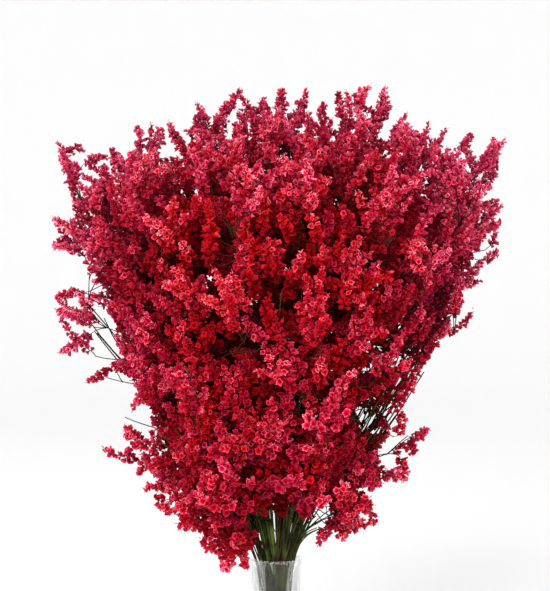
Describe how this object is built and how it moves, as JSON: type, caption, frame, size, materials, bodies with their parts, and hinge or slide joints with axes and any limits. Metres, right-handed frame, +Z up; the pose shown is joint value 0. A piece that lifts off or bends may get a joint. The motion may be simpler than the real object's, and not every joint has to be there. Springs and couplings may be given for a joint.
{
  "type": "dried statice in a glass vase",
  "caption": "Full bunch of red-dyed dried statice, green stems fanning out of a clear glass bottle vase; stands on its own as a table or shelf arrangement.",
  "frame": {"origin": "middle of the vase's foot, on the surface it stands on", "axes": "+Z up through the vase and the bunch; the front of the picture looks along +Y, with +X to its right"},
  "size_m": [0.4505, 0.4247, 0.667],
  "materials": {
    "clear_glass": "clear, colourless, smooth",
    "dried_stem": "matt, dull olive green, finely ribbed",
    "dyed_florets": "matt papery, dyed crimson"
  },
  "bodies": {
    "root": {"vase": "clear_glass", "stem_01": "dried_stem", "stem_02": "dried_stem", "stem_03": "dried_stem", "stem_04": "dried_stem", "stem_05": "dried_stem", "stem_06": "dried_stem", "stem_07": "dried_stem", "stem_08": "dried_stem", "stem_09": "dried_stem", "stem_10": "dried_stem", "stem_11": "dried_stem", "stem_12": "dried_stem", "stem_13": "dried_stem", "stem_14": "dried_stem", "stem_15": "dried_stem", "stem_16": "dried_stem", "stem_17": "dried_stem", "stem_18": "dried_stem", "stem_19": "dried_stem", "stem_20": "dried_stem", "stem_21": "dried_stem", "stem_22": "dried_stem", "stem_23": "dried_stem", "stem_24": "dried_stem", "spray_01": "dyed_florets", "spray_02": "dyed_florets", "spray_03": "dyed_florets", "spray_04": "dyed_florets", "spray_05": "dyed_florets", "spray_06": "dyed_florets", "spray_07": "dyed_florets", "spray_08": "dyed_florets", "spray_09": "dyed_florets", "spray_10": "dyed_florets", "spray_11": "dyed_florets", "spray_12": "dyed_florets", "spray_13": "dyed_florets", "spray_14": "dyed_florets", "spray_15": "dyed_florets", "spray_16": "dyed_florets", "spray_17": "dyed_florets", "spray_18": "dyed_florets", "spray_19": "dyed_florets", "spray_20": "dyed_florets", "spray_21": "dyed_florets", "spray_22": "dyed_florets", "spray_23": "dyed_florets", "spray_24": "dyed_florets"}
  },
  "joints": []
}
